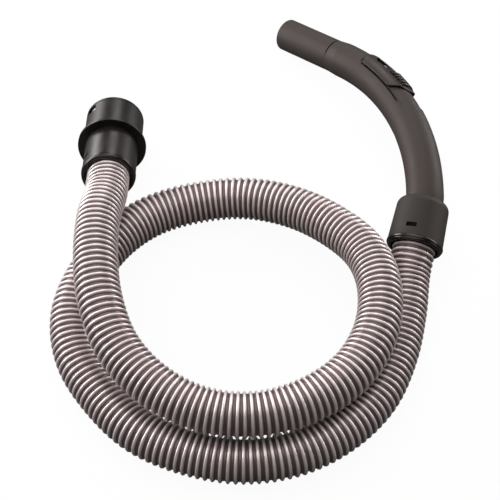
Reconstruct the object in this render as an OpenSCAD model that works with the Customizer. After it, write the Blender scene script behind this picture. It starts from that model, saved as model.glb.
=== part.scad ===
// Vacuum cleaner hose: a ribbed hose with a swivelling machine connector at one end and a
// swivelling bent handle with an airflow slider at the other. Millimetres, +Z up, the floor at
// Z = 0, the origin under the middle of the rigid pieces.

/* [Hose] */
// Outer diameter over the ribs
hose_od = 40; // [39:0.5:40.5]
// Inner diameter of the bore
hose_id = 32; // [28:0.5:33]
// Depth of the valleys between ribs
rib_depth = 2.4; // [1:0.1:2.8]
// Number of ribs
rib_count = 200; // [120:1:200]

/* [Swivel joints] */
// Length of hose held inside each cuff
hose_grip = 22; // [20:1:26]
// Gap between the hose ribs and a cuff
cuff_gap = 0.3; // [0.1:0.05:0.5]
// Wall of a cuff
cuff_wall = 1.4; // [1:0.1:1.6]
// Thickness of the stop behind the hose end
cuff_stop = 2.5; // [1.5:0.5:4]
// How far a cuff starts inside the mouth
cuff_recess = 1.5; // [0.5:0.5:2.5]
// Height of a cuff's bearing flange above its wall
flange_step = 1.7; // [1:0.1:1.8]
// Thickness of a cuff's bearing flange
flange_w = 3; // [2:0.5:4]
// Distance from the mouth to a bearing flange
flange_at = 17; // [16.5:0.5:18]
// Gap between pieces that turn on each other
running_gap = 0.3; // [0.2:0.05:0.4]
// Gap between pieces that snap together
snap_gap = 0.1; // [0.05:0.05:0.2]
// Thickness of a seal ring
seal_w = 2.7; // [2:0.1:4]
// Radial width of a seal ring
seal_h = 4.2; // [3:0.1:5]
// Thickness of the wall that a seal runs against
web_w = 2; // [1.5:0.5:3]
// Diameter of the air way through that wall
web_bore = 33; // [30:0.5:34]
// Length of a retaining ring's lip
lip_w = 3; // [2:0.5:4]
// How far a retaining ring's lip stands over its socket
lip_step = 0.5; // [0:0.1:1]
// Radius of the round bead on a retaining ring's face
bead_r = 1.9; // [1.6:0.1:2]
// How far the bead's middle stands out before the mouth
bead_out = 0.4; // [0.2:0.1:0.8]
// How far the bead reaches into the ring's bore, where it is cut off
bead_in = 0.3; // [0.2:0.1:0.5]
// Width of a retaining ring's lugs
lug_w = 9.5; // [5:0.5:10]
// Length of a lug along the axis
lug_l = 4; // [3:0.5:5]
// Distance from the mouth to a lug
lug_at = 10.5; // [8:0.5:11.5]
// How far a lug sits below its socket's outer face
lug_sink = 0.3; // [0.1:0.1:0.6]

/* [Machine connector] */
// Outer diameter of the sleeve over the hose end
sleeve_od = 50.5; // [50:0.5:52]
// Length from the mouth to the stop flange
sleeve_l = 44.4; // [42:0.2:50]
// Outer diameter of the stop flange
stop_od = 65.5; // [60:0.5:72]
// Thickness of the stop flange
stop_w = 3; // [2:0.5:5]
// Outer diameter of the spigot that fits the machine
spigot_od = 56; // [54:0.5:58]
// Length of the spigot beyond the flange
spigot_l = 41.9; // [34:0.1:50]
// Wall of the spigot
spigot_wall = 2.6; // [2:0.1:3.5]
// Radius of the spigot's rim
rim_round = 1.4; // [0.5:0.1:1.8]
// Distance of the line round the spigot from its rim
rim_line_at = 4; // [3:0.5:6]
// Width of the windows for the machine's latch
latch_w = 12; // [6:0.5:14]
// Length of the latch windows
latch_l = 8; // [4:0.5:9]
// Distance of the latch windows from the rim
latch_at = 5; // [5:0.5:9]
// Angle of the latch windows round the axis
latch_turn = 40; // [0:5:175]
// Angle of the sleeve's snap windows round the axis
sleeve_turn = 30; // [0:2:178]

/* [Handle collar] */
// Outer diameter at the mouth
collar_od = 51.6; // [51:0.2:54]
// Outer diameter below the shoulder
collar_top_od = 48.8; // [48:0.2:51]
// Length from the mouth to the top
collar_l = 46; // [44:0.5:52]
// Radius of the shoulder
shoulder_r = 8; // [4:0.5:9]
// Angle of the collar's snap windows round the axis
collar_turn = 100; // [0:2:178]

/* [Handle tube] */
// Outer diameter of the bent tube
tube_od = 35.2; // [34.4:0.2:36]
// Wall of the bent tube
tube_wall = 2.6; // [2.2:0.1:3.2]
// Radius of the short bend at the collar
neck_r = 30; // [24:1:40]
// Angle of the short bend
neck_angle = 12.5; // [8:0.5:16]
// Radius of the long bend
bend_r = 215; // [200:1:240]
// Angle of the long bend
bend_angle = 53.5; // [50:0.5:60]
// Length of the straight end
tip_l = 81; // [76:1:96]
// Outer diameter of the spigot that holds a wand
wand_od = 32.8; // [31:0.1:33]
// Length of that spigot
wand_l = 69; // [56:1:72]
// Wall of that spigot
wand_wall = 2.1; // [1.8:0.1:2.6]
// Depth of the finger hollows
hollow_depth = 0.9; // [0.4:0.1:1.2]
// Radius of a finger hollow
hollow_r = 26; // [20:1:40]
// Number of finger hollows
hollow_count = 4; // [2:1:5]
// Angle along the long bend to the first finger hollow
hollow_from = 3.5; // [3:0.5:6]
// Angle between finger hollows
hollow_step = 5.6; // [5:0.1:7]

/* [Airflow slider] */
// Angle along the long bend to the slider's rear end
slider_from = 28.8; // [28:0.2:31]
// Angle that the slider covers
slider_span = 17.4; // [16.6:0.2:18]
// Angle that the slider travels towards the collar
slider_travel = 5; // [4.4:0.2:6]
// Thickness of the slider
slider_t = 2.8; // [2.4:0.1:3.6]
// Distance of the slider's side edges in front of the tube's axis
slider_side = 3.6; // [2:0.2:8]
// Radius of the slider's round ends
slider_end_r = 22.5; // [21.5:0.5:30]
// Depth of the track that the slider runs in
track_depth = 1; // [0.5:0.1:1.2]
// Length of the slider's air window
window_l = 25; // [20:0.5:26]
// Width of the air window
window_w = 22; // [12:0.5:23]
// Angle from the slider's front end to the air window's middle
window_from = 5.6; // [5:0.2:6]
// Length of the vent in the tube, which the window uncovers when the slider moves
vent_l = 16; // [12:0.5:18]
// Width of the vent
vent_w = 10; // [6:0.5:12]
// Number of grip ridges
ridge_count = 5; // [3:1:5]
// Height of a grip ridge
ridge_h = 0.8; // [0.4:0.1:1.2]
// Width of a grip ridge
ridge_w = 1.3; // [0.8:0.1:2]
// Distance between grip ridges
ridge_pitch = 4.5; // [3:0.1:4.6]
// Distance of the first ridge from the slider's rear end
ridge_from = 9; // [7:0.5:10]
// How far the ridges stop short of the slider's side edges
ridge_inset = 12; // [4:0.5:13]

/* [Hidden] */
$fn = 96;
eps = 0.01;
fine_step = 0.1;
past = 1;
far = 200;
line_depth = 0.4;

// Where each end lies: the middle of its mouth, the heading and climb of its axis away from the
// hose, and for the handle the turn of its bend about that axis.
inlet_mouth = [-143, -74, 47.4];
inlet_heading = 0;
inlet_climb = -13;
grip_mouth = [141, -145, 30.4];
grip_heading = 14.5;
grip_climb = 16;
grip_roll = 24.5;

// The hose's route over the floor between its two straight ends.
route = [
    [-147, -138, 64], [-146, -184, 69], [-139, -230, 68], [-122, -273, 62], [-91, -307, 57],
    [-50, -328, 53], [-5, -332, 52], [39, -319, 53], [76, -292, 55], [98, -253, 56],
    [104, -207, 54], [94, -163, 47], [67, -127, 39], [31, -99, 31], [-12, -84, 25],
    [-57, -85, 21], [-101, -100, 20], [-135, -129, 20], [-158, -169, 20], [-169, -213, 20],
    [-161, -258, 20], [-137, -297, 20], [-104, -330, 20], [-62, -350, 20], [-17, -358, 20],
    [28, -351, 20], [68, -329, 20], [99, -296, 20], [118, -254, 20], [129, -209, 20]];
// Straight run of hose outside each mouth
straight_out = 20;

// Sizes that follow from the ones above
hose_r = hose_od / 2;
cuff_bore_r = hose_r + cuff_gap;
cuff_r = cuff_bore_r + cuff_wall;
flange_r = cuff_r + flange_step;
socket_r = flange_r + running_gap;
ring_r = socket_r - snap_gap;
throat_r = cuff_r + running_gap;
hose_end = cuff_recess + hose_grip;
cuff_end = hose_end + cuff_stop;
web_at = cuff_end + seal_w + running_gap;
web_end = web_at + web_w;
seat_end = flange_at + flange_w + running_gap;
tube_r = tube_od / 2;
bore_r = tube_r - tube_wall;
wand_r = wand_od / 2;
track_r = tube_r - track_depth;
slider_in = track_r + running_gap;
slider_out = slider_in + slider_t;
slider_rim = bend_r + slider_out;
vent_at = slider_from + slider_span - window_from - slider_travel;

function axis_dir(heading, climb) =
    [sin(heading) * cos(climb), cos(heading) * cos(climb), sin(climb)];
function unit(v) = v / norm(v);
// The angle that a length along the slider's outer face covers
function angle_of(length) = length / slider_rim * 180 / PI;
function clamp(x, low, high) = min(max(x, low), high);

// ---- The hose's centre line: straight ends, and one smooth curve through the route ----

inlet_axis = axis_dir(inlet_heading, inlet_climb);
grip_axis = axis_dir(grip_heading, grip_climb);
hose_start = inlet_mouth + inlet_axis * hose_end;
hose_finish = grip_mouth + grip_axis * hose_end;
knots = concat([inlet_mouth - inlet_axis * straight_out], route,
    [grip_mouth - grip_axis * straight_out]);
last = len(knots) - 1;
slopes = [for (i = [0 : last])
    i == 0 ? -inlet_axis * norm(knots[1] - knots[0])
    : i == last ? grip_axis * norm(knots[last] - knots[last - 1])
    : (knots[i + 1] - knots[i - 1]) / 2];
steps = 10;
function curve_point(i, t) =
    (2 * t ^ 3 - 3 * t ^ 2 + 1) * knots[i] + (t ^ 3 - 2 * t ^ 2 + t) * slopes[i]
    + (3 * t ^ 2 - 2 * t ^ 3) * knots[i + 1] + (t ^ 3 - t ^ 2) * slopes[i + 1];
function on_floor(p) = [p[0], p[1], max(p[2], hose_r)];
line = concat([hose_start],
    [for (i = [0 : last - 1], k = [0 : steps - 1]) on_floor(curve_point(i, k / steps))],
    [knots[last], hose_finish]);
gone = [for (i = 0, s = 0; i < len(line); s = s + norm(line[min(i + 1, len(line) - 1)] - line[i]),
    i = i + 1) s];
hose_length = gone[len(gone) - 1];
tables = [for (axis = [0 : 2]) [for (i = [0 : len(line) - 1]) [gone[i], line[i][axis]]]];
function at(s) = [for (table = tables) lookup(clamp(s, 0, hose_length), table)];
function heading_at(s) = unit(at(s + 1) - at(s - 1));

// ---- The ribbed wall: rings of eight points, a crest and a valley to each rib ----

sides = 8;
bore_rings = 150;
function ring(s, r) =
    let (ahead = heading_at(s), side = unit(cross([0, 0, 1], ahead)), up = cross(ahead, side))
    [for (k = [0 : sides - 1]) at(s) + r * (cos(360 * k / sides) * side + sin(360 * k / sides) * up)];
function skin(rings, first, flip) =
    [for (j = [0 : rings - 1], k = [0 : sides - 1])
        let (a = first + j * sides + k, b = first + j * sides + (k + 1) % sides,
            c = a + sides, d = b + sides)
        each flip ? [[a, c, b], [b, c, d]] : [[a, b, c], [b, d, c]]];
function end_face(outer, inner, flip) =
    [for (k = [0 : sides - 1])
        let (a = outer + k, b = outer + (k + 1) % sides, c = inner + k, d = inner + (k + 1) % sides)
        each flip ? [[a, b, c], [b, d, c]] : [[a, c, b], [b, c, d]]];

module ribbed_hose() {
    wall_rings = 2 * rib_count;
    valley_r = hose_r - rib_depth;
    wall = [for (j = [0 : wall_rings])
        each ring(hose_length * j / wall_rings, j % 2 == 0 ? valley_r : hose_r)];
    bore = [for (j = [0 : bore_rings]) each ring(hose_length * j / bore_rings, hose_id / 2)];
    inner = len(wall);
    polyhedron(concat(wall, bore), concat(
        skin(wall_rings, 0, false),
        skin(bore_rings, inner, true),
        end_face(0, inner, false),
        end_face(wall_rings * sides, inner + bore_rings * sides, true)), convexity = 12);
}

// The least gap between two stretches of the hose, from points on the centre line to the
// straight pieces between them, and the height of its lowest point.
probe = [for (j = [0 : rib_count]) at(hose_length * j / rib_count)];
apart = ceil(150 * rib_count / hose_length);
function to_piece(p, a, b) =
    let (t = clamp((p - a) * (b - a) / ((b - a) * (b - a)), 0, 1)) norm(p - a - t * (b - a));
least_gap = min([for (i = [0 : rib_count - apart - 1], j = [i + apart : rib_count - 1])
    to_piece(probe[i], probe[j], probe[j + 1])]) - hose_od;
lowest = min([for (p = probe) p[2]]) - hose_r;
echo(hose_length = hose_length, least_gap = least_gap, lowest = lowest);  // hose

// ---- Pieces that are the same at both ends, drawn along +Z from the mouth ----

module place_end(mouth, heading, climb) {
    translate(mouth) rotate([climb - 90, 0, -heading]) children();
}

module pipe(inner, outer, from, to) {
    translate([0, 0, from]) difference() {
        cylinder(r = outer, h = to - from);
        translate([0, 0, -past]) cylinder(r = inner, h = to - from + 2 * past);
    }
}

module hose_cuff() {
    difference() {
        union() {
            translate([0, 0, cuff_recess]) cylinder(r = cuff_r, h = cuff_end - cuff_recess);
            translate([0, 0, flange_at]) cylinder(r = flange_r, h = flange_w);
        }
        translate([0, 0, cuff_recess - past]) cylinder(r = cuff_bore_r, h = hose_grip + past);
        translate([0, 0, cuff_recess]) cylinder(r = hose_id / 2, h = cuff_end);
    }
}

module seal_ring() {
    pipe(throat_r - running_gap - seal_h, throat_r - running_gap, cuff_end, cuff_end + seal_w);
}

// A ring that snaps into a socket of the given outer radius and holds the cuff's flange in it.
module retaining_ring(outer_r, turn) {
    lip_r = outer_r + lip_step;
    soft = lip_w / 3;
    difference() {
        union() {
            cylinder(r = lip_r - soft, h = lip_w);
            translate([0, 0, soft]) cylinder(r = lip_r, h = lip_w - 2 * soft);
            translate([0, 0, soft]) ring_bead(lip_r - soft, soft);
            translate([0, 0, lip_w - soft]) ring_bead(lip_r - soft, soft);
            translate([0, 0, lip_w]) cylinder(r = ring_r, h = flange_at - running_gap - lip_w);
            intersection() {
                cylinder(r = outer_r - lug_sink, h = flange_at);
                rotate([0, 0, turn]) translate([-far / 2, -lug_w / 2, lug_at])
                    cube([far, lug_w, lug_l]);
            }
            translate([0, 0, -bead_out]) ring_bead(throat_r + bead_r - bead_in, bead_r);
        }
        translate([0, 0, -bead_out - bead_r - past])
            cylinder(r = throat_r, h = flange_at + bead_out + bead_r + past);
    }
}

module ring_bead(r, bead_r) {
    rotate_extrude() translate([r, 0]) circle(r = bead_r);
}

// The hollow of a socket: the retaining ring's seat, the cuff's throat and the air way.
module socket_hollow() {
    translate([0, 0, -past]) cylinder(r = socket_r, h = seat_end + past);
    cylinder(r = throat_r, h = web_at);
    cylinder(r = web_bore / 2, h = web_end + past);
}

module snap_windows(turn) {
    rotate([0, 0, turn])
        translate([-far / 2, -lug_w / 2 - snap_gap, lug_at - snap_gap])
            cube([far, lug_w + 2 * snap_gap, lug_l + 2 * snap_gap]);
}

// ---- The machine connector ----

module connector_body() {
    rim = sleeve_l + stop_w + spigot_l;
    spigot_r = spigot_od / 2;
    spigot_bore = spigot_r - spigot_wall;
    throat_len = 10;
    line_w = 0.6;
    difference() {
        union() {
            translate([0, 0, lip_w]) cylinder(d = sleeve_od, h = sleeve_l - lip_w + eps);
            translate([0, 0, sleeve_l]) cylinder(d = stop_od, h = stop_w);
            translate([0, 0, sleeve_l + stop_w]) cylinder(r = spigot_r, h = spigot_l - rim_round);
            translate([0, 0, rim - rim_round - eps])
                cylinder(r = spigot_r - rim_round, h = rim_round + eps);
            translate([0, 0, rim - rim_round]) ring_bead(spigot_r - rim_round, rim_round);
        }
        socket_hollow();
        translate([0, 0, web_end - eps])
            cylinder(r1 = web_bore / 2, r2 = spigot_bore, h = sleeve_l + throat_len - web_end);
        translate([0, 0, sleeve_l + throat_len - 2 * eps])
            cylinder(r = spigot_bore, h = spigot_l + stop_w);
        translate([0, 0, rim - rim_line_at]) pipe(spigot_r - line_depth, spigot_r + past, 0, line_w);
        snap_windows(sleeve_turn);
        rotate([0, 0, latch_turn])
            translate([-far / 2, -latch_w / 2, rim - latch_at - latch_l])
                cube([far, latch_w, latch_l]);
    }
}

// ---- The handle ----

module collar_body() {
    top_r = collar_top_od / 2;
    difference() {
        rotate_extrude() union() {
            polygon([[0, lip_w], [collar_od / 2, lip_w], [top_r, collar_l - shoulder_r],
                [top_r - shoulder_r, collar_l], [0, collar_l]]);
            translate([top_r - shoulder_r, collar_l - shoulder_r]) circle(r = shoulder_r);
        }
        socket_hollow();
        translate([0, 0, web_end]) cylinder(r = tube_r + snap_gap, h = collar_l);
        snap_windows(collar_turn);
    }
}

// Turns the collar's frame so that the handle bends towards -X.
module handle_frame() {
    place_end(grip_mouth, grip_heading, grip_climb) rotate([0, 0, -grip_roll]) children();
}

// Moves along a bend towards -X by an angle.
module along(r, angle) {
    translate([-r, 0, 0]) rotate([0, -angle, 0]) translate([r, 0, 0]) children();
}

module at_neck() {
    translate([0, 0, collar_l]) children();
}

module at_bend(angle) {
    at_neck() along(neck_r, neck_angle) along(bend_r, angle) children();
}

// Sweeps a flat outline round a bend, from one angle to another.
module sweep(r, from, to) {
    translate([-r, 0, 0]) rotate([90, 0, 0]) rotate([0, 0, from])
        rotate_extrude(angle = to - from) translate([r, 0]) children();
}

// A solid bar along the handle. Its stretches overlap a little and differ a little in radius, and
// it runs on by an extra length at both ends.
module handle_bar(r, wand, extra) {
    inset = 2;
    grip = r - fine_step;
    translate([0, 0, web_end - extra])
        cylinder(r = grip, h = collar_l - web_end + extra + fine_step);
    at_neck() sweep(neck_r, 0, neck_angle) circle(r = r);
    at_bend(0) sweep(bend_r, -fine_step, bend_angle) circle(r = grip);
    at_bend(bend_angle) {
        translate([0, 0, -inset]) cylinder(r = grip - fine_step, h = inset + fine_step);
        cylinder(r1 = grip - fine_step, r2 = wand, h = tip_l - wand_l);
        translate([0, 0, tip_l - wand_l]) cylinder(r = wand, h = wand_l + extra);
    }
}

// The outline of the slider's shell or of the track under it, in a cross-section of the tube.
module shell_outline(inner, outer, side) {
    intersection() {
        difference() {
            circle(r = outer);
            circle(r = inner);
        }
        translate([side, -far / 2]) square([far, far]);
    }
}

// A bar along +X with a round-ended outline, seen from outside. It starts inside the bore, low
// enough for the ends of the track, which the bend carries down.
module round_bar(length, half_w) {
    reach = length / 2 - half_w;
    translate([-bore_r / 2, 0, 0]) rotate([0, 90, 0]) linear_extrude(far) union() {
        square([2 * reach, 2 * half_w], center = true);
        for (end = [-reach, reach]) translate([end, 0]) circle(r = half_w);
    }
}

// The straight length of a stretch of the slider's outer face, along its middle.
function chord(angle) = 2 * slider_rim * sin(angle / 2);

module tube_body() {
    track_span = slider_span + slider_travel;
    seam_w = 0.7;
    seam_reach = 5;
    difference() {
        handle_bar(tube_r, wand_r, 0);
        handle_bar(bore_r, wand_r - wand_wall, past);
        at_bend(slider_from - slider_travel) intersection() {
            sweep(bend_r, -past, track_span + past)
                shell_outline(track_r, tube_r + past, slider_side - running_gap);
            along(bend_r, track_span / 2)
                round_bar(chord(track_span) + 2 * running_gap, slider_end_r + running_gap);
        }
        at_bend(vent_at) round_bar(vent_l, vent_w / 2);
        for (i = [0 : hollow_count - 1])
            at_bend(hollow_from + i * hollow_step)
                translate([hollow_depth - tube_r - hollow_r, 0, 0])
                    rotate([90, 0, 0]) cylinder(r = hollow_r, h = far, center = true);
        at_bend(bend_angle) translate([0, 0, tip_l - wand_l]) intersection() {
            pipe(wand_r - line_depth, tube_r + past, 0, seam_w);
            translate([-seam_reach, -far / 2, -past]) cube([far, far, seam_w + 2 * past]);
        }
    }
}

module slider_body() {
    ridge_root = 0.3;
    at_bend(slider_from) {
        difference() {
            intersection() {
                sweep(bend_r, 0, slider_span) shell_outline(slider_in, slider_out, slider_side);
                along(bend_r, slider_span / 2) round_bar(chord(slider_span), slider_end_r);
            }
            along(bend_r, slider_span - window_from) round_bar(window_l, window_w / 2);
        }
        for (i = [0 : ridge_count - 1])
            along(bend_r, angle_of(ridge_from + i * ridge_pitch))
                sweep(bend_r, 0, angle_of(ridge_w))
                    shell_outline(slider_out - ridge_root, slider_out + ridge_h, slider_side + ridge_inset);
    }
}

// ---- The pieces ----

module hose() {
    color("silver") ribbed_hose();
}

module inlet_hose_cuff() {
    color("#1c1c1d") place_end(inlet_mouth, inlet_heading, inlet_climb) hose_cuff();
}

module inlet_seal_ring() {
    color("#3a3a3a") place_end(inlet_mouth, inlet_heading, inlet_climb) seal_ring();
}

module inlet_connector() {
    color("#2b2a29") place_end(inlet_mouth, inlet_heading, inlet_climb) connector_body();
}

module inlet_retaining_ring() {
    color("#202020") place_end(inlet_mouth, inlet_heading, inlet_climb)
        retaining_ring(sleeve_od / 2, sleeve_turn);
}

module grip_hose_cuff() {
    color("#1c1c1d") handle_frame() hose_cuff();
}

module grip_seal_ring() {
    color("#3a3a3a") handle_frame() seal_ring();
}

module grip_collar() {
    color("#48443f") handle_frame() collar_body();
}

module grip_retaining_ring() {
    color("#202020") handle_frame() retaining_ring(collar_od / 2, collar_turn);
}

module handle_tube() {
    color("#54504b") handle_frame() tube_body();
}

module airflow_slider() {
    color("#4a4641") handle_frame() slider_body();
}

hose();
inlet_hose_cuff();
inlet_seal_ring();
inlet_connector();
inlet_retaining_ring();
grip_hose_cuff();
grip_seal_ring();
grip_collar();
grip_retaining_ring();
handle_tube();
airflow_slider();
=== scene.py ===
"""Vacuum cleaner hose: the looks of the ribbed hose, the machine connector and the handle."""

import math

import bpy
import numpy as np
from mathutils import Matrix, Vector


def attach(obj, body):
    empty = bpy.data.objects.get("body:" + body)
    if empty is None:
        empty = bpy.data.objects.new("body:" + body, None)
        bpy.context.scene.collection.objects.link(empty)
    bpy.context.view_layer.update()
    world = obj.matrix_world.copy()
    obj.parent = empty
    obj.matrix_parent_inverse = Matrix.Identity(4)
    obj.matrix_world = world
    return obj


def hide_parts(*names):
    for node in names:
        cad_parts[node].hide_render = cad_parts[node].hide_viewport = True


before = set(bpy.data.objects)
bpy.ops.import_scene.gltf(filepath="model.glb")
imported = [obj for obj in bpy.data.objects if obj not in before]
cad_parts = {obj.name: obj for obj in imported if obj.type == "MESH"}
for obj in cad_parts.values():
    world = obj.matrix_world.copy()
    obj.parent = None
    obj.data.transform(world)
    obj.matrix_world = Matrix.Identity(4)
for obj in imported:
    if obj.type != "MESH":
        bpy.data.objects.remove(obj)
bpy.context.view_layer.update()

bl_info = {
    "name": "Vacuum Cleaner Hose",
    "version": (1, 0, 0),
    "blender": (4, 5, 0),
    "location": "View3D > Sidebar > Hose",
    "description": "Dresses a ribbed vacuum cleaner hose, its machine connector and its handle",
    "category": "Object",
}

MM = 0.001

# ---- Where the hose runs, in metres ----

INLET_MOUTH = np.array([-0.143, -0.074, 0.0474])
INLET_HEADING, INLET_CLIMB = 0.0, -13.0
GRIP_MOUTH = np.array([0.141, -0.145, 0.0304])
GRIP_HEADING, GRIP_CLIMB, GRIP_ROLL = 14.5, 16.0, 24.5
HOSE_INSIDE = 0.0235
STRAIGHT_OUT = 0.020
ROUTE = MM * np.array([
    [-147, -138, 64], [-146, -184, 69], [-139, -230, 68], [-122, -273, 62], [-91, -307, 57],
    [-50, -328, 53], [-5, -332, 52], [39, -319, 53], [76, -292, 55], [98, -253, 56],
    [104, -207, 54], [94, -163, 47], [67, -127, 39], [31, -99, 31], [-12, -84, 25],
    [-57, -85, 21], [-101, -100, 20], [-135, -129, 20], [-158, -169, 20], [-169, -213, 20],
    [-161, -258, 20], [-137, -297, 20], [-104, -330, 20], [-62, -350, 20], [-17, -358, 20],
    [28, -351, 20], [68, -329, 20], [99, -296, 20], [118, -254, 20], [129, -209, 20]])

# One rib of the hose: heights from valley, 0, to crest, 1, at shares of the pitch
RIB_PROFILE = np.array([0.12, 0.0, 0.34, 0.84, 1.0, 0.84, 0.34, 0.0])
RIB_PLACE = np.array([0.0, 0.12, 0.23, 0.36, 0.5, 0.64, 0.77, 0.88])
HOSE_SIDES = 40


def axis_dir(heading, climb):
    """Unit vector at a heading from +Y towards +X and a climb above the floor, in degrees."""
    h, c = math.radians(heading), math.radians(climb)
    return np.array([math.sin(h) * math.cos(c), math.cos(h) * math.cos(c), math.sin(c)])


INLET_AXIS = axis_dir(INLET_HEADING, INLET_CLIMB)
GRIP_AXIS = axis_dir(GRIP_HEADING, GRIP_CLIMB)

# ---- The handle's bend and the slider on it ----
# Lengths and radii are in metres. Places along the bend and turns round the tube are in degrees,
# and so are the widths of what lies along the bend. GROOVE is in millimetres.

COLLAR_LENGTH = 46 * MM
NECK_RADIUS, NECK_ANGLE = 30 * MM, 12.5
BEND_RADIUS, BEND_ANGLE = 215 * MM, 53.5
SEAM_AT = 12 * MM
LIP = 4 * MM
GROOVE, GROOVE_ANGLES = (1.1, 2.7), (26.4, 44.8)
SLIDER_INSIDE, SLIDER_THICKNESS = 16.9 * MM, 2.8 * MM
SLIDER_REAR, SLIDER_FRONT, SLIDER_SIDE = 28.8, 46.2, 81.5
WINDOW_MIDDLE, WINDOW_HALF_ANGLE, WINDOW_HALF_TURN = 40.4, 3.2, 44.0
# Where the slider's shell is painted dark under the grip ridges, as painted shade
RIDGE_SHADE_MIDDLE, RIDGE_SHADE_HALF_ANGLE, RIDGE_SHADE_HALF_TURN = 33.6, 2.99, 44.0
BRIDGE_HALF_TURN, BRIDGE_OVERLAP = 14.0, 0.3
BRIDGE_LIFT = 0.5 * SLIDER_THICKNESS + 0.4 * MM
BRIDGE_HALF_HEIGHT = 0.32 * SLIDER_THICKNESS
RIDGE_FROM, RIDGE_PITCH, RIDGE_HALF_TURN = 31.3, 1.15, 42.0
RIDGE_HALF_WIDTH, RIDGE_HEIGHT, RIDGE_SUNK = 0.23, 1.4 * MM, 0.2 * MM
# How far each end of the slider falls back at a turn round the tube, and by which power of it
REAR_SWEEP, REAR_SWEEP_TURN, REAR_POWER = 3.4, 80.0, 1.1
FRONT_SWEEP, FRONT_SWEEP_TURN, FRONT_POWER = 2.6, 84.0, 2.5


def handle_axes():
    """The handle's own axes as rows: across its bend towards the outside, along the bend's own
    axis, and ahead out of the collar. Across is the level direction at the collar, turned by the
    roll about the way ahead."""
    level = unit(np.cross(GRIP_AXIS, [0.0, 0.0, 1.0]))
    down = np.cross(GRIP_AXIS, level)
    roll = math.radians(-GRIP_ROLL)
    across = math.cos(roll) * level + math.sin(roll) * down
    return across, np.cross(GRIP_AXIS, across), GRIP_AXIS


def turned(first, second, angle):
    """The directions first and second turned towards each other's place by an angle in degrees."""
    c, s = math.cos(math.radians(angle)), math.sin(math.radians(angle))
    return c * first + s * second, c * second - s * first


# ---- Surfaces ----


def unit(v):
    """Each row of v divided by its length."""
    return v / np.linalg.norm(v, axis=-1, keepdims=True)


def hose_line(radius, per_span=24):
    """The hose's centre line: a cubic Hermite curve through the route's points, whose slope at
    each point is half the step between its neighbours, with a straight run into each cuff.
    Nothing of it lies lower than one radius above the floor."""
    knots = np.vstack([INLET_MOUTH - INLET_AXIS * STRAIGHT_OUT, ROUTE,
                       GRIP_MOUTH - GRIP_AXIS * STRAIGHT_OUT])
    slopes = np.empty_like(knots)
    slopes[1:-1] = (knots[2:] - knots[:-2]) / 2
    slopes[0] = -INLET_AXIS * np.linalg.norm(knots[1] - knots[0])
    slopes[-1] = GRIP_AXIS * np.linalg.norm(knots[-1] - knots[-2])
    t = (np.arange(per_span) / per_span)[None, :, None]
    p, q, m, n = knots[:-1, None], knots[1:, None], slopes[:-1, None], slopes[1:, None]
    curve = ((2 * t**3 - 3 * t**2 + 1) * p + (t**3 - 2 * t**2 + t) * m
             + (3 * t**2 - 2 * t**3) * q + (t**3 - t**2) * n).reshape(-1, 3)
    curve = np.vstack([curve, knots[-1]])
    curve[:, 2] = np.maximum(curve[:, 2], radius)
    return np.vstack([INLET_MOUTH + INLET_AXIS * HOSE_INSIDE, curve,
                      GRIP_MOUTH + GRIP_AXIS * HOSE_INSIDE])


def along_line(line, s):
    """Points of a polyline at the lengths s from its start, and its unit heading there, taken
    over one millimetre each way."""
    gone = np.concatenate([[0], np.cumsum(np.linalg.norm(np.diff(line, axis=0), axis=1))])
    at = lambda x: np.stack([np.interp(x, gone, line[:, k]) for k in range(3)], axis=1)
    return at(s), unit(at(np.clip(s + MM, 0, gone[-1])) - at(np.clip(s - MM, 0, gone[-1])))


def swept(line, lengths, r, around):
    """A grid of points carried along a line: at lengths[i] a circle of radius r[i] stands square
    to the heading, drawn in the level direction and the one at right angles to it."""
    p, ahead = along_line(line, lengths)
    side = unit(np.cross([0.0, 0.0, 1.0], ahead))
    up = np.cross(ahead, side)
    turn = 2 * np.pi * np.arange(around) / around
    c, s = np.cos(turn)[None, :, None], np.sin(turn)[None, :, None]
    return p[:, None] + r[:, None, None] * (c * side[:, None] + s * up[:, None])


def grid_faces(rows, cols, first=0, flip=False):
    """Quads of a grid of rows by cols points that closes round its columns, with its points
    numbered from first."""
    i, j = np.meshgrid(np.arange(rows - 1), np.arange(cols), indexing="ij")
    a, b = i * cols + j, i * cols + (j + 1) % cols
    c, d = a + cols, b + cols
    quads = np.stack([a, b, d, c] if not flip else [a, c, d, b], axis=-1).reshape(-1, 4)
    return quads + first


def ring_faces(rows, cols):
    """Quads of a grid that closes round its rows and round its columns."""
    i, j = np.meshgrid(np.arange(rows), np.arange(cols), indexing="ij")
    k, n = (i + 1) % rows, (j + 1) % cols
    quads = np.stack([i * cols + j, k * cols + j, k * cols + n, i * cols + n], axis=-1)
    return quads.reshape(-1, 4)


def outward(points, faces):
    """The quads turned so that a closed surface encloses a positive volume."""
    a, b, c, d = (points[faces[:, k]] for k in range(4))
    volume = (a * np.cross(b, c)).sum() + (a * np.cross(c, d)).sum()
    return faces if volume > 0 else faces[:, ::-1]


def bend_frame():
    """The middle of the handle's long bend, and its own axes where it starts: the collar's,
    turned by the short bend."""
    across, aside, ahead = handle_axes()
    start = GRIP_MOUTH + COLLAR_LENGTH * ahead - NECK_RADIUS * across
    across, ahead = turned(across, ahead, NECK_ANGLE)
    return start + (NECK_RADIUS - BEND_RADIUS) * across, across, aside, ahead


def on_bend(angle, turn, radius):
    """Points round the handle's long bend, from the angle along it and the turn and the radius
    round the tube: the bend's middle, plus the bend's radius and the part of the tube's radius
    across it along the spoke at that angle, plus the rest of it along the bend's axis."""
    middle, across, aside, ahead = bend_frame()
    a, t = np.radians(angle)[..., None], np.radians(turn)[..., None]
    spoke = np.cos(a) * across + np.sin(a) * ahead
    r = np.asarray(radius)[..., None]
    return middle + (BEND_RADIUS + r * np.cos(t)) * spoke + r * np.sin(t) * aside


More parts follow.
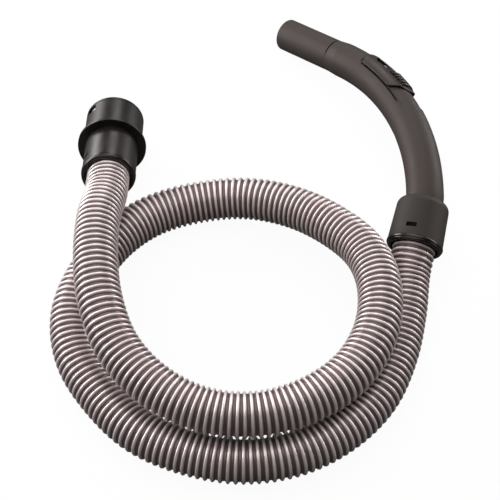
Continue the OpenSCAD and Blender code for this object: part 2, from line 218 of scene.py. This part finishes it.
def loop(power):
    """A closed outline of 240 points: cosine and sine, each raised to a power with its sign
    kept, so that a small power gives a rectangle with round corners and 1 an ellipse."""
    phi = 2 * np.pi * np.arange(240) / 240
    return [np.sign(w) * np.abs(w) ** power for w in (np.cos(phi), np.sin(phi))]


def slider_shell():
    """The slider's shell as one closed grid. Each column runs from the window's edge to the
    slider's edge over the outer face, and back over the inner one. The outer face falls off in a
    quarter circle along both edges, and the inner face stops short of the outer edge, which
    leaves an undercut. The rear end is drawn out in the middle and the front end is blunt."""
    u, v = loop(0.14)
    turn = SLIDER_SIDE * v
    rear = SLIDER_REAR + REAR_SWEEP * np.abs(turn / REAR_SWEEP_TURN) ** REAR_POWER
    front = SLIDER_FRONT - FRONT_SWEEP * np.abs(turn / FRONT_SWEEP_TURN) ** FRONT_POWER
    edge = np.stack([(front + rear) / 2 + (front - rear) / 2 * u, turn])
    u, v = loop(0.8)
    hole = np.stack([WINDOW_MIDDLE + WINDOW_HALF_ANGLE * u, WINDOW_HALF_TURN * v])
    per_degree = np.array([BEND_RADIUS + SLIDER_INSIDE, SLIDER_INSIDE]) * math.pi / 180
    reach = np.linalg.norm((edge - hole) * per_degree[:, None], axis=0)
    round_edge, round_hole, lip, undercut = 1.2 * MM, 0.7 * MM, 1.5 * MM, 2.6 * MM

    s = np.linspace(0, 1, 9)
    near = (1 - np.cos(s * math.pi / 2))[:, None]
    from_hole = near * round_hole / reach
    from_edge = 1 - near[::-1] * round_edge / reach
    middle = from_hole[-1] + np.linspace(0, 1, 26)[1:-1, None] * (from_edge[0] - from_hole[-1])
    share = np.vstack([from_hole, middle, from_edge])
    rise = lambda d, r: np.sqrt(np.clip(1 - (1 - np.clip(d / r, 0, 1)) ** 2, 0, 1))
    full = SLIDER_THICKNESS - lip
    height = lip + full * np.minimum(rise((1 - share) * reach, round_edge),
                                     rise(share * reach, round_hole))
    inner = (1 - undercut / reach) * np.linspace(1, 0, 12)[:, None]
    share = np.vstack([share, inner])
    height = np.vstack([height, np.zeros_like(inner)])
    place = hole[:, None] + share * (edge - hole)[:, None]
    points = on_bend(place[0], place[1], SLIDER_INSIDE + height)
    faces = ring_faces(*points.shape[:2])
    points = points.reshape(-1, 3)
    return points, outward(points, faces), place.reshape(2, -1), (height - lip).ravel()


def slider_bridge():
    """The bar that crosses the slider's window lengthwise: a closed tube of superelliptic
    section, wide along the turn and thin along the radius, that follows the bend."""
    half = WINDOW_HALF_ANGLE + BRIDGE_OVERLAP
    angle = np.linspace(WINDOW_MIDDLE - half, WINDOW_MIDDLE + half, 40)
    u, v = (w[::10] for w in loop(0.45))
    shape = (len(angle), len(u))
    turn = np.broadcast_to(BRIDGE_HALF_TURN * u, shape)
    lift = BRIDGE_LIFT + BRIDGE_HALF_HEIGHT * v
    radius = np.broadcast_to(SLIDER_INSIDE + lift, shape)
    points = on_bend(np.broadcast_to(angle[:, None], shape), turn, radius).reshape(-1, 3)
    quads = grid_faces(*shape)
    sides = outward(points, quads)
    first, last = list(range(len(u))), list(range(len(points) - len(u), len(points)))
    caps = [first[::-1], last] if sides is quads else [first, last[::-1]]
    return points, sides.tolist() + caps


def slider_ridges(count):
    """Grip ridges across the slider: bars of elliptic section that taper to nothing at both
    ends, by the fourth power of the distance from the middle."""
    t = np.linspace(-1, 1, 33)
    size = np.sqrt(1 - 0.999 * t**4)
    phi = 2 * np.pi * np.arange(12) / 12
    middle = RIDGE_FROM + RIDGE_PITCH * np.arange(count)[:, None, None]
    angle = middle + RIDGE_HALF_WIDTH * (size[:, None] * np.cos(phi))[None]
    lift = SLIDER_THICKNESS - RIDGE_SUNK + RIDGE_HEIGHT * (size[:, None] * np.sin(phi))[None]
    points = on_bend(angle, np.broadcast_to(RIDGE_HALF_TURN * t[:, None], angle.shape),
                     np.broadcast_to(SLIDER_INSIDE + lift, angle.shape))
    each = len(t) * len(phi)
    one = grid_faces(len(t), len(phi))
    caps = [list(range(len(phi)))[::-1], list(range(each - len(phi), each))]
    sense = outward(points[0].reshape(-1, 3), one)
    if sense is not one:
        caps = [cap[::-1] for cap in caps]
    faces = (sense[None] + each * np.arange(count)[:, None, None]).reshape(-1, 4).tolist()
    faces += [[each * k + i for i in cap] for k in range(count) for cap in caps]
    return points.reshape(-1, 3), faces


def make_piece(name, points, faces, body, slot):
    """A smooth mesh piece from arrays of points and faces, which rides on a body. Its slot
    argument is not used."""
    mesh = bpy.data.meshes.new(name)
    mesh.from_pydata(points.tolist(), [], [list(face) for face in faces])
    mesh.polygons.foreach_set("use_smooth", np.full(len(mesh.polygons), True))
    mesh.update()
    piece = bpy.data.objects.new(name, mesh)
    bpy.context.scene.collection.objects.link(piece)
    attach(piece, body)
    return piece


# ---- Shader maths ----


class Value:
    """A socket of a material that takes part in sums. Numbers alone stay in Python."""

    def __init__(self, finish, socket):
        self.finish, self.socket = finish, socket

    def _with(self, operation, *others, swap=False):
        inputs = [self, *others]
        if swap:
            inputs = inputs[::-1]
        return self.finish.node("ShaderNodeMath", {"operation": operation},
                                dict(enumerate(inputs)))

    def __add__(self, other): return self._with("ADD", other)
    def __radd__(self, other): return self._with("ADD", other, swap=True)
    def __sub__(self, other): return self._with("SUBTRACT", other)
    def __rsub__(self, other): return self._with("SUBTRACT", other, swap=True)
    def __mul__(self, other): return self._with("MULTIPLY", other)
    def __rmul__(self, other): return self._with("MULTIPLY", other, swap=True)
    def __pow__(self, other): return self._with("POWER", other)

    def step(self, low, high):
        """0 below low, 1 above high, and a smooth rise between them."""
        return self.finish.node("ShaderNodeMapRange", {"interpolation_type": "SMOOTHSTEP"},
                                {"Value": self, "From Min": low, "From Max": high})


class Finish:
    """A node material under construction, with a Principled shader. The constants are the
    shader's own sockets, in lower case with underscores."""

    def __init__(self, name, **constants):
        self.material = bpy.data.materials.new(name)
        self.material.use_nodes = True
        self.tree = self.material.node_tree
        self.shader = next(n for n in self.tree.nodes if n.type == "BSDF_PRINCIPLED")
        for key, value in constants.items():
            socket = key.replace("_", " ").title().replace("Ior", "IOR")
            self.shader.inputs[socket].default_value = value
        self.coords = self.node("ShaderNodeTexCoord", {}, {}, "Object")

    def node(self, kind, settings, values, out=0):
        """Adds a node of a kind with its settings, and fills or links its sockets by name or
        number. The result is its output of the name or number out."""
        made = self.tree.nodes.new(kind)
        for key, value in settings.items():
            setattr(made, key, value)
        for key, value in values.items():
            if isinstance(value, Value):
                self.tree.links.new(value.socket, made.inputs[key])
            else:
                made.inputs[key].default_value = value
        return Value(self, made.outputs[out])

    def noise(self, scale, detail=2.0, roughness=0.5):
        """Noise on Object coordinates, at a scale per metre, 0 to 1."""
        return self.node("ShaderNodeTexNoise", {}, {"Vector": self.coords, "Scale": scale,
                                                    "Detail": detail, "Roughness": roughness})

    def attribute(self, name):
        """A number stored on the mesh's points."""
        return self.node("ShaderNodeAttribute", {"attribute_name": name}, {}, "Fac")

    def beyond(self, point, axis):
        """How far a place lies beyond a point along an axis, in metres."""
        along = self.node("ShaderNodeVectorMath", {"operation": "DOT_PRODUCT"},
                          {0: self.coords, 1: axis}, "Value")
        return along - float(np.dot(point, axis))

    def mix(self, factor, a, b):
        """Colour a where the factor is 0, b where it is 1. Each of them is a socket or three
        numbers."""
        made = self.tree.nodes.new("ShaderNodeMix")
        made.data_type = "RGBA"
        for key, value in ((0, factor), (6, a), (7, b)):
            if isinstance(value, Value):
                self.tree.links.new(value.socket, made.inputs[key])
            else:
                made.inputs[key].default_value = (*value, 1)
        return Value(self, made.outputs[2])

    def set(self, **links):
        """Links what changes over the surface to the shader's sockets."""
        for key, value in links.items():
            self.tree.links.new(value.socket, self.shader.inputs[key.replace("_", " ").title()])
        return self

    def cover(self, shader, factor):
        """Mixes another shader over this one, by factor."""
        output = next(n for n in self.tree.nodes if n.type == "OUTPUT_MATERIAL")
        mixed = self.tree.nodes.new("ShaderNodeMixShader")
        self.tree.links.new(factor.socket, mixed.inputs[0])
        self.tree.links.new(self.shader.outputs[0], mixed.inputs[1])
        self.tree.links.new(shader.socket, mixed.inputs[2])
        self.tree.links.new(mixed.outputs[0], output.inputs["Surface"])

    def bump(self, height, distance):
        """Raises the surface by height times a distance in metres."""
        return self.set(normal=self.node("ShaderNodeBump", {}, {"Height": height,
                                                                "Distance": distance}))


# ---- What a user may change ----


class HoseSettings(bpy.types.PropertyGroup):
    diameter: bpy.props.FloatProperty(
        name="Diameter", description="Outer diameter over the ribs",
        default=0.040, unit="LENGTH")
    bore: bpy.props.FloatProperty(
        name="Bore", description="Inner diameter",
        default=0.032, unit="LENGTH")
    ribs: bpy.props.IntProperty(
        name="Ribs", description="Number of ribs along the hose",
        default=260, min=50)
    depth: bpy.props.FloatProperty(
        name="Rib depth", description="Depth of the valleys between ribs",
        default=0.0025, unit="LENGTH")
    # The crests' colour holds a painted highlight, and the valleys' colour holds painted shade
    # between the ribs
    color: bpy.props.FloatVectorProperty(
        name="Crests", description="Colour of the ribs",
        subtype="COLOR", default=(0.86, 0.755, 0.745))
    valley: bpy.props.FloatVectorProperty(
        name="Valleys", description="Colour between the ribs",
        subtype="COLOR", default=(0.145, 0.101, 0.098))


class ConnectorSettings(bpy.types.PropertyGroup):
    color: bpy.props.FloatVectorProperty(
        name="Connector", description="Colour of the connector",
        subtype="COLOR", default=(0.0055, 0.0047, 0.0044))
    ring: bpy.props.FloatVectorProperty(
        name="Rings", description="Colour of the retaining rings and cuffs",
        subtype="COLOR", default=(0.004, 0.004, 0.004))


class HandleSettings(bpy.types.PropertyGroup):
    tube: bpy.props.FloatVectorProperty(
        name="Tube", description="Colour of the handle's tube",
        subtype="COLOR", default=(0.042, 0.0332, 0.0303))
    collar: bpy.props.FloatVectorProperty(
        name="Collar", description="Colour of the collar",
        subtype="COLOR", default=(0.030, 0.0262, 0.0232))
    ridges: bpy.props.IntProperty(
        name="Ridges", description="Number of grip ridges on the slider",
        default=5, min=1, max=6)
    slider: bpy.props.FloatVectorProperty(
        name="Slider", description="Colour of the airflow slider",
        subtype="COLOR", default=(0.027, 0.0200, 0.0178))


class StageSettings(bpy.types.PropertyGroup):
    floor: bpy.props.FloatVectorProperty(
        name="Floor", description="Colour of the floor",
        subtype="COLOR", default=(0.07, 0.07, 0.07))
    lens: bpy.props.FloatProperty(
        name="Lens", description="Focal length on a 36 mm sensor",
        default=99.65, unit="CAMERA")
    distance: bpy.props.FloatProperty(
        name="Distance", description="From the camera to the point it looks at",
        default=1.308, unit="LENGTH")
    whiteness: bpy.props.FloatProperty(
        name="Whiteness", description="How much of the floor the camera sees as plain white",
        default=0.95, min=0, max=1)
    world: bpy.props.FloatProperty(
        name="World", description="Strength of the light from all round",
        default=0.09, min=0)
    elevation: bpy.props.FloatProperty(
        name="Elevation", description="Angle of the camera above the floor",
        default=math.radians(54), subtype="ANGLE")


# Area lamps: name, place and size in metres, and power in watts
LAMPS = (
    ("overhead_box", (-0.15, 0.05, 1.6), (2.3, 1.7), 24),
    ("left_box", (-1.5, 0.6, 0.43), (2.1, 0.8), 40),
    ("right_box", (1.5, 0.7, 0.38), (1.6, 0.7), 20),
    ("back_strip", (0.1, 1.4, 1.0), (0.5, 0.7), 6),
)
LAMP_AIM = (0.0, -0.12, 0.0)
CAMERA_AIM = np.array([-0.010, -0.126, 0.0])
FLOOR_REACH = 6.0
# How white the floor looks below its glow, and how much of that glow a gloss mirrors
FLOOR_SEEN, GLOW_MIRRORED = (0.95, 0.95, 0.95), 0.05


# ---- Finishes ----

# Specular level of the matte mouldings, and how much lighter the ridges and the window's bridge
# are painted, as a painted highlight
MATTE_SHINE, RIDGE_LIGHTER = 0.25, 1.7
WARM_SHINE = (1.0, 0.89, 0.85, 1.0)
# Near black painted as painted shade into slots, grooves and undercuts, and into the tip's seam as
# a dark joint
PAINTED_DARK_COLOR = (0.004, 0.003, 0.003)


def hose_finish(settings):
    """Glossy silver-grey plastic with a faint mottle. The crests carry a painted highlight and the
    valleys between the ribs carry painted shade.
    """
    finish = Finish("hose_silver_plastic", metallic=0.4)
    crest = finish.attribute("crest")
    mottle = finish.noise(90, 3).step(0.3, 0.7)
    # Painted highlight on the crests and painted shade in the valleys, set by the crest height
    shade = crest.step(0.2, 0.95) * (0.92 + 0.08 * mottle)
    finish.set(base_color=finish.mix(shade, settings.valley, settings.color),
               roughness=0.30 + 0.12 * finish.noise(400, 2))
    return finish.bump(finish.noise(900, 2), 0.00002).material


def satin_finish(name, color, roughness, grain, depth, dark=None, shine=0.5):
    """Moulded plastic: a fine grain, whose scale is per metre and whose depth is in metres, and
    a slow change of shade and shine. Where dark(finish) gives 1, the colour goes near black
    and the surface metallic. This is painted shade in a slot, a groove or an undercut, and a
    dark joint line in the tip's seam."""
    finish = Finish(name, specular_tint=WARM_SHINE, specular_ior_level=shine)
    slow = finish.noise(35, 3).step(0.3, 0.7)
    fine = finish.noise(grain, 2, 0.6)
    lighter = tuple(min(1.0, 1.18 * c) for c in color)
    shade = finish.mix(slow * 0.5 + fine * 0.4, color, lighter)
    if dark:
        # Painted shade, and the tip's dark joint line: near black and metallic where the mask
        # gives 1
        painted_dark = dark(finish)
        shade = finish.mix(painted_dark, shade, PAINTED_DARK_COLOR)
        finish.set(metallic=painted_dark)
    finish.set(base_color=shade, roughness=roughness + 0.08 * slow + 0.06 * fine)
    return finish.bump(fine, depth).material


def slot_shade(mouth, axis):
    """Painted shade beyond the lip of a retaining ring, where its lugs show in their slots."""
    return lambda finish: finish.beyond(mouth, axis).step(LIP, LIP + 0.5 * MM)


def tube_shade(finish):
    """Dark in the fine joint round the straight tip, most on the bend's outer side, and painted
    shade in the narrow grooves along the slider's two edges."""
    middle, across, _, ahead = bend_frame()
    reach = (finish.beyond(middle, across) ** 2 + finish.beyond(middle, ahead) ** 2) ** 0.5
    sine = finish.beyond(middle, ahead) * reach ** -1
    # Painted shade in the grooves along the slider's edges
    inner, outer = (BEND_RADIUS + x * MM for x in GROOVE)
    soft = 0.3 * MM
    groove = reach.step(inner, inner + soft) * (1 - reach.step(outer, outer + soft))
    low, high = (math.sin(math.radians(a)) for a in GROOVE_ANGLES)
    groove = groove * sine.step(low, low + 0.02) * (1 - sine.step(high - 0.01, high))

    across, ahead = turned(across, ahead, BEND_ANGLE)
    end = on_bend(np.array([BEND_ANGLE]), np.array([0.0]), 0.0)[0]
    place = finish.beyond(end + SEAM_AT * ahead, ahead)
    core, edge = 0.5 * MM, 1.0 * MM
    seam = 1 - (place * place).step(core**2, edge**2)
    fades_from, full_from = -11 * MM, -4 * MM
    seam = seam * finish.beyond(end, across).step(fades_from, full_from)
    # The seam's dark joint line and the grooves' painted shade together
    return 0.95 * (1 - (1 - seam) * (1 - groove))


# ---- Pieces ----


def dress(name, material):
    """Gives a CAD piece its finish."""
    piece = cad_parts[name]
    piece.data.materials.clear()
    piece.data.materials.append(material)


class HOSE_OT_ribbed_hose(bpy.types.Operator):
    """Makes the ribbed hose along its route and hides the plain one"""
    bl_idname = "hose.ribbed_hose"
    bl_label = "Ribbed Hose"

    def execute(self, context):
        settings = context.scene.hose
        line = hose_line(settings.diameter / 2)
        length = float(np.linalg.norm(np.diff(line, axis=0), axis=1).sum())
        s = (np.arange(settings.ribs)[:, None] + RIB_PLACE[None]).ravel() / settings.ribs * length
        crest = np.tile(RIB_PROFILE, settings.ribs)
        s, crest = np.append(s, length), np.append(crest, RIB_PROFILE[0])
        around = HOSE_SIDES
        outer = swept(line, s, settings.diameter / 2 - settings.depth * (1 - crest), around)
        bore_s = np.linspace(0, length, settings.ribs + 1)
        inner = swept(line, bore_s, np.full(len(bore_s), settings.bore / 2), around)
        n = outer.shape[0] * around
        m = n + (inner.shape[0] - 1) * around
        k = np.arange(around)
        after = (k + 1) % around
        near = np.stack([k, n + k, n + after, after], axis=1)
        far = np.stack([n - around + k, n - around + after, m + after, m + k], axis=1)
        faces = np.vstack([grid_faces(len(s), around), grid_faces(len(bore_s), around, n, True),
                           near, far])
        points = np.vstack([outer.reshape(-1, 3), inner.reshape(-1, 3)])
        piece = make_piece("ribbed_hose", points, faces, "hose_assembly", "hose_plastic")
        heights = piece.data.attributes.new("crest", "FLOAT", "POINT")
        in_bore = np.zeros(len(bore_s) * around)
        heights.data.foreach_set("value", np.concatenate([np.repeat(crest, around), in_bore]))
        piece.data.materials.append(hose_finish(settings))
        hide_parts("hose")
        return {"FINISHED"}


class HOSE_OT_connector(bpy.types.Operator):
    """Finishes the machine connector with its retaining ring, cuff and seal"""
    bl_idname = "hose.connector"
    bl_label = "Machine Connector"

    def execute(self, context):
        settings = context.scene.hose_connector
        body = satin_finish("connector_satin", settings.color,
                            roughness=0.31, grain=1500, depth=0.00003)
        gloss = satin_finish("cuff_gloss", settings.ring,
                             roughness=0.22, grain=900, depth=0.00001)
        seal = satin_finish("seal_rubber_black", settings.ring,
                            roughness=0.7, grain=1200, depth=0.00004)
        dress("inlet_connector", body)
        ends = {"inlet": (INLET_MOUTH, INLET_AXIS), "grip": (GRIP_MOUTH, GRIP_AXIS)}
        for end, (mouth, axis) in ends.items():
            # Each retaining ring gets painted shade where it shows through its slots
            ring = satin_finish(f"{end}_ring_gloss", settings.ring,
                                roughness=0.20, grain=900, depth=0.00001,
                                dark=slot_shade(mouth, axis))
            dress(f"{end}_retaining_ring", ring)
            dress(f"{end}_hose_cuff", gloss)
            dress(f"{end}_seal_ring", seal)
        return {"FINISHED"}


class HOSE_OT_handle(bpy.types.Operator):
    """Finishes the handle's tube, its collar and the airflow slider"""
    bl_idname = "hose.handle"
    bl_label = "Handle"

    def execute(self, context):
        settings = context.scene.hose_handle
        tube = satin_finish("handle_satin", settings.tube,
                            roughness=0.50, grain=2200, depth=0.00004,
                            dark=tube_shade, shine=MATTE_SHINE)
        collar = satin_finish("collar_matte", settings.collar,
                              roughness=0.55, grain=2400, depth=0.00006, shine=MATTE_SHINE)
        dress("handle_tube", tube)
        dress("grip_collar", collar)
        points, faces, place, rise = slider_shell()
        shell = make_piece("slider_shell", points, faces, "slider", "slider_plastic")
        # Painted shade on the shell: a dark patch under the grip ridges and a dark line along the
        # lip and undercut edge
        far = np.maximum(np.abs(place[0] - RIDGE_SHADE_MIDDLE) / RIDGE_SHADE_HALF_ANGLE,
                         np.abs(place[1]) / RIDGE_SHADE_HALF_TURN)
        ridge_well_shade = shell.data.attributes.new("ridge_well_shade", "FLOAT", "POINT")
        painted_dark = np.maximum(np.clip((1.05 - far) / 0.1, 0, 1), rise < 0.5 * MM)
        ridge_well_shade.data.foreach_set("value", painted_dark)
        satin = satin_finish("slider_satin", settings.slider,
                             roughness=0.36, grain=2200, depth=0.00003,
                             dark=lambda finish: finish.attribute("ridge_well_shade") * 0.97, shine=0.3)
        shell.data.materials.append(satin)
        # Ridges and bridge painted lighter than the slider, as a painted highlight
        ridge_highlight = satin_finish("slider_ridge_satin",
                            tuple(RIDGE_LIGHTER * c for c in settings.slider),
                            roughness=0.28, grain=2200, depth=0.00002)
        bars = {"slider_ridges": slider_ridges(settings.ridges), "slider_bridge": slider_bridge()}
        for name, shape in bars.items():
            piece = make_piece(name, *shape, "slider", "slider_plastic")
            piece.data.materials.append(ridge_highlight)
        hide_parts("airflow_slider")
        return {"FINISHED"}


class HOSE_OT_stage(bpy.types.Operator):
    """Sets up the camera, the floor and the studio lights"""
    bl_idname = "hose.stage"
    bl_label = "Stage"

    def execute(self, context):
        scene, settings = context.scene, context.scene.hose_stage
        scene.view_settings.view_transform = "Standard"
        back = np.array([0.0, -math.cos(settings.elevation), math.sin(settings.elevation)])
        camera = bpy.data.objects.new("camera", bpy.data.cameras.new("camera"))
        camera.data.sensor_width = 36
        camera.data.lens = settings.lens
        camera.data.clip_start, camera.data.clip_end = 0.05, 20
        camera.location = CAMERA_AIM + back * settings.distance
        camera.rotation_euler = (math.pi / 2 - settings.elevation, 0, 0)
        scene.collection.objects.link(camera)
        scene.camera = camera

        mesh = bpy.data.meshes.new("floor")
        corners = [(x * FLOOR_REACH, y * FLOOR_REACH, 0)
                   for x, y in ((-1, -1), (1, -1), (1, 1), (-1, 1))]
        mesh.from_pydata(corners, [], [(0, 1, 2, 3)])
        floor = bpy.data.objects.new("floor", mesh)
        scene.collection.objects.link(floor)
        finish = Finish("floor_white", roughness=0.9)
        direct = finish.node("ShaderNodeLightPath", {}, {}, "Is Camera Ray")
        mirrored = finish.node("ShaderNodeLightPath", {}, {}, "Is Glossy Ray") * GLOW_MIRRORED
        finish.set(base_color=finish.mix(direct, settings.floor, FLOOR_SEEN))
        glow = finish.node("ShaderNodeEmission", {}, {"Color": (1, 1, 1, 1)})
        finish.cover(glow, (direct + mirrored) * settings.whiteness)
        mesh.materials.append(finish.material)

        world = bpy.data.worlds.new("studio")
        scene.world = world
        world.use_nodes = True
        tree = world.node_tree
        soft = next(n for n in tree.nodes if n.type == "BACKGROUND")
        soft.inputs["Strength"].default_value = settings.world
        white = tree.nodes.new("ShaderNodeBackground")
        path, mixed = tree.nodes.new("ShaderNodeLightPath"), tree.nodes.new("ShaderNodeMixShader")
        output = next(n for n in tree.nodes if n.type == "OUTPUT_WORLD")
        for node in (soft, white):
            node.inputs["Color"].default_value = (1, 1, 1, 1)
        tree.links.new(path.outputs["Is Camera Ray"], mixed.inputs[0])
        tree.links.new(soft.outputs[0], mixed.inputs[1])
        tree.links.new(white.outputs[0], mixed.inputs[2])
        tree.links.new(mixed.outputs[0], output.inputs["Surface"])

        for name, place, size, watts in LAMPS:
            light = bpy.data.lights.new(name, "AREA")
            light.shape = "RECTANGLE"
            light.size, light.size_y, light.energy = size[0], size[1], watts
            lamp = bpy.data.objects.new(name, light)
            lamp.location = place
            ahead = Vector(LAMP_AIM) - Vector(place)
            lamp.rotation_euler = ahead.to_track_quat("-Z", "Y").to_euler()
            scene.collection.objects.link(lamp)
        return {"FINISHED"}


class HOSE_PT_panel(bpy.types.Panel):
    """Lists the pieces of the hose"""
    bl_idname = "HOSE_PT_panel"
    bl_label = "Vacuum Cleaner Hose"
    bl_space_type = "VIEW_3D"
    bl_region_type = "UI"
    bl_category = "Hose"

    def draw(self, context):
        for operator in OPERATORS:
            self.layout.operator(operator.bl_idname)
        for group in GROUPS:
            box = self.layout.box()
            settings = getattr(context.scene, group)
            for key in settings.bl_rna.properties.keys():
                if key not in ("rna_type", "name"):
                    box.prop(settings, key)


GROUPS = {"hose": HoseSettings, "hose_connector": ConnectorSettings,
          "hose_handle": HandleSettings, "hose_stage": StageSettings}
OPERATORS = (HOSE_OT_stage, HOSE_OT_ribbed_hose, HOSE_OT_connector, HOSE_OT_handle)


def register():
    for cls in (*GROUPS.values(), *OPERATORS, HOSE_PT_panel):
        bpy.utils.register_class(cls)
    for name, group in GROUPS.items():
        setattr(bpy.types.Scene, name, bpy.props.PointerProperty(type=group))


def unregister():
    for name in GROUPS:
        delattr(bpy.types.Scene, name)
    for cls in reversed((*GROUPS.values(), *OPERATORS, HOSE_PT_panel)):
        bpy.utils.unregister_class(cls)


def main():
    register()
    bpy.ops.hose.stage()
    bpy.ops.hose.ribbed_hose()
    bpy.ops.hose.connector()
    bpy.ops.hose.handle()


if __name__ == "__main__":
    main()
